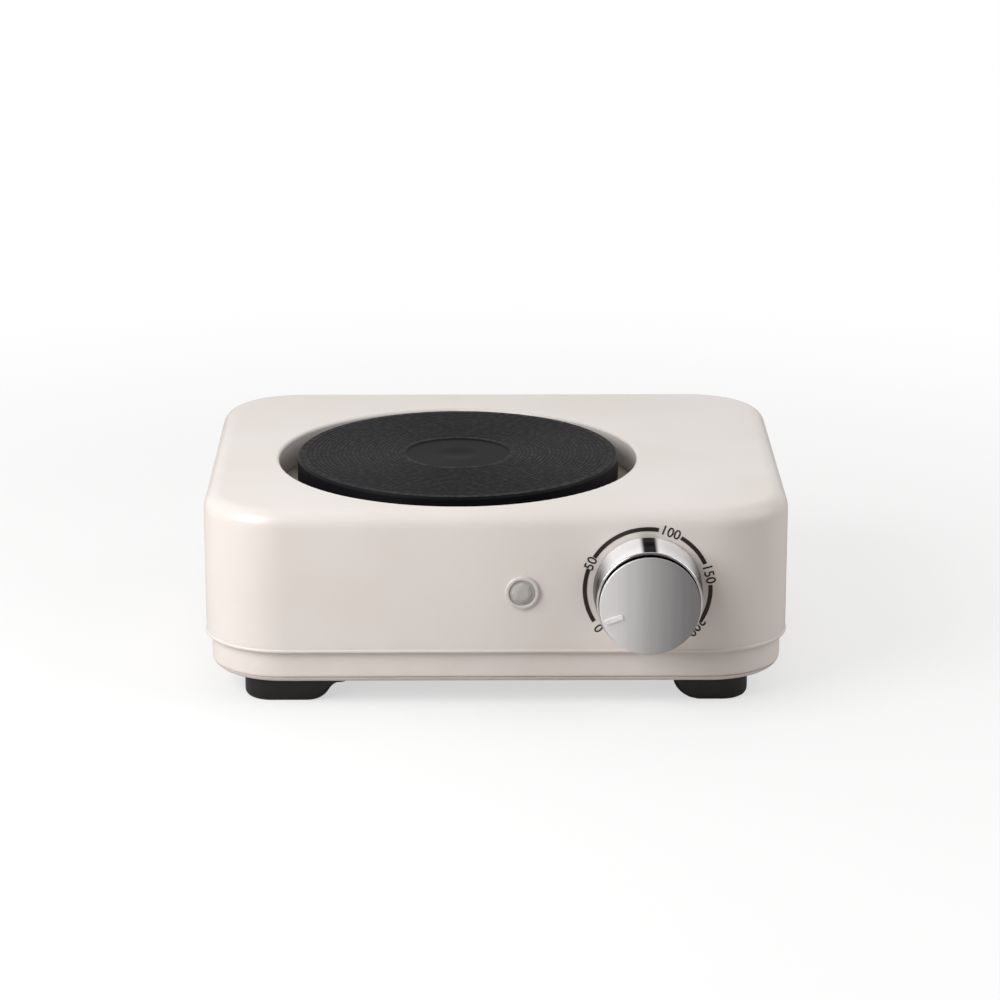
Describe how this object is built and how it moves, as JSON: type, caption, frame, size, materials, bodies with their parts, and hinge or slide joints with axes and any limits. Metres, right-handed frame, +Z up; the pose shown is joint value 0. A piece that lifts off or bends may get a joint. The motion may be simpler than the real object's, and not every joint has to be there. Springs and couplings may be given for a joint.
{
  "type": "hot plate burner",
  "caption": "Compact electric hot plate: cream housing with a black cast-iron plate in a round well, a chrome front knob that turns a thermostat, a clear indicator and black feet.",
  "frame": {"origin": "under the centre of the part's overall box, on the table surface that the feet stand on", "axes": "+Z up, -Y to the front where the knob is, +X to the right as seen from the front"},
  "size_m": [0.2126, 0.1948, 0.075],
  "materials": {
    "shell_paint": "satin baked cream paint",
    "tray_plastic": "satin moulded cream plastic",
    "foot_rubber": "satin black rubber",
    "zinc_steel": "zinc-plated steel",
    "dark_screw": "blackened steel",
    "gland_rubber": "matt black rubber",
    "dial_ink": "matt black print",
    "plate_iron": "turned cast iron, black coated",
    "coil_alloy": "oxidised resistance alloy",
    "shield_steel": "dull aluminised steel",
    "ceramic": "unglazed steatite",
    "brass": "turned brass",
    "blade_copper": "rolled copper alloy",
    "knob_chrome": "mirror chrome plating",
    "knob_black": "black plastic",
    "cap_alloy": "fine brushed aluminium",
    "pointer_chrome": "bright chrome",
    "bezel_grey": "grey plastic",
    "lens_clear": "clear plastic",
    "neon_glass": "clear glass",
    "resistor_body": "lacquered",
    "wire_brown": "silicone sleeve",
    "wire_black": "silicone sleeve",
    "wire_blue": "silicone sleeve",
    "wire_earth": "green and yellow sleeve",
    "wire_grey": "silicone sleeve"
  },
  "bodies": {
    "base": {"upper_housing": "shell_paint", "bottom_tray": "tray_plastic", "corner_posts": "zinc_steel", "tray_screws": "dark_screw", "foot_front_left": "foot_rubber", "foot_front_right": "foot_rubber", "foot_rear_left": "foot_rubber", "foot_rear_right": "foot_rubber", "foot_screws": "dark_screw", "cord_gland": "gland_rubber", "dial_print": "dial_ink", "hot_plate": "plate_iron", "heating_coil": "coil_alloy", "insulation_pad": "ceramic", "plate_cover": "zinc_steel", "plate_stud": "zinc_steel", "plate_spacer": "zinc_steel", "heat_shield": "shield_steel", "crossbar": "zinc_steel", "stud_washer": "zinc_steel", "stud_nut": "zinc_steel", "coil_terminal_block": "ceramic", "coil_terminal_pins": "brass", "pin_connectors": "brass", "thermal_fuse": "brass", "fuse_clip": "zinc_steel", "shaft_bush": "brass", "bush_nut": "zinc_steel", "thermostat_frame": "zinc_steel", "ceramic_spacers": "ceramic", "control_blade": "blade_copper", "contact_blade": "blade_copper", "bimetal_strip": "zinc_steel", "contact_points": "zinc_steel", "stack_rivet": "zinc_steel", "indicator_bezel": "bezel_grey", "indicator_lens": "lens_clear", "neon_bulb": "neon_glass", "lamp_resistor": "resistor_body", "lamp_clip": "zinc_steel", "mains_terminal_block": "ceramic", "terminal_screws": "zinc_steel", "earth_tab": "brass", "earth_screw": "zinc_steel", "live_wire": "wire_brown", "switched_wire": "wire_black", "fuse_wire": "wire_black", "neutral_wire": "wire_blue", "earth_wire": "wire_earth", "lamp_wires": "wire_grey"},
    "knob": {"knob_skirt": "knob_chrome", "knob_collar": "knob_black", "knob_cap": "cap_alloy", "knob_pointer": "pointer_chrome", "knob_clip": "zinc_steel", "thermostat_shaft": "zinc_steel", "shaft_clip": "dark_screw"},
    "adjuster": {"adjuster_pin": "ceramic"}
  },
  "joints": [
    {"name": "knob_turn", "type": "hinge", "parent": "base", "child": "knob", "pos_m": [0.054, -0.0766, 0.045], "axis": [0, 1, 0], "range_deg": [-24, 238]},
    {"name": "adjuster_slide", "type": "slide", "parent": "base", "child": "adjuster", "axis": [0, 1, 0], "range_m": [-0.00007, 0.00067]}
  ],
  "couplings": [
    {"joint": "adjuster_slide", "follows": "knob_turn", "m_per_rad": 0.00015915}
  ]
}
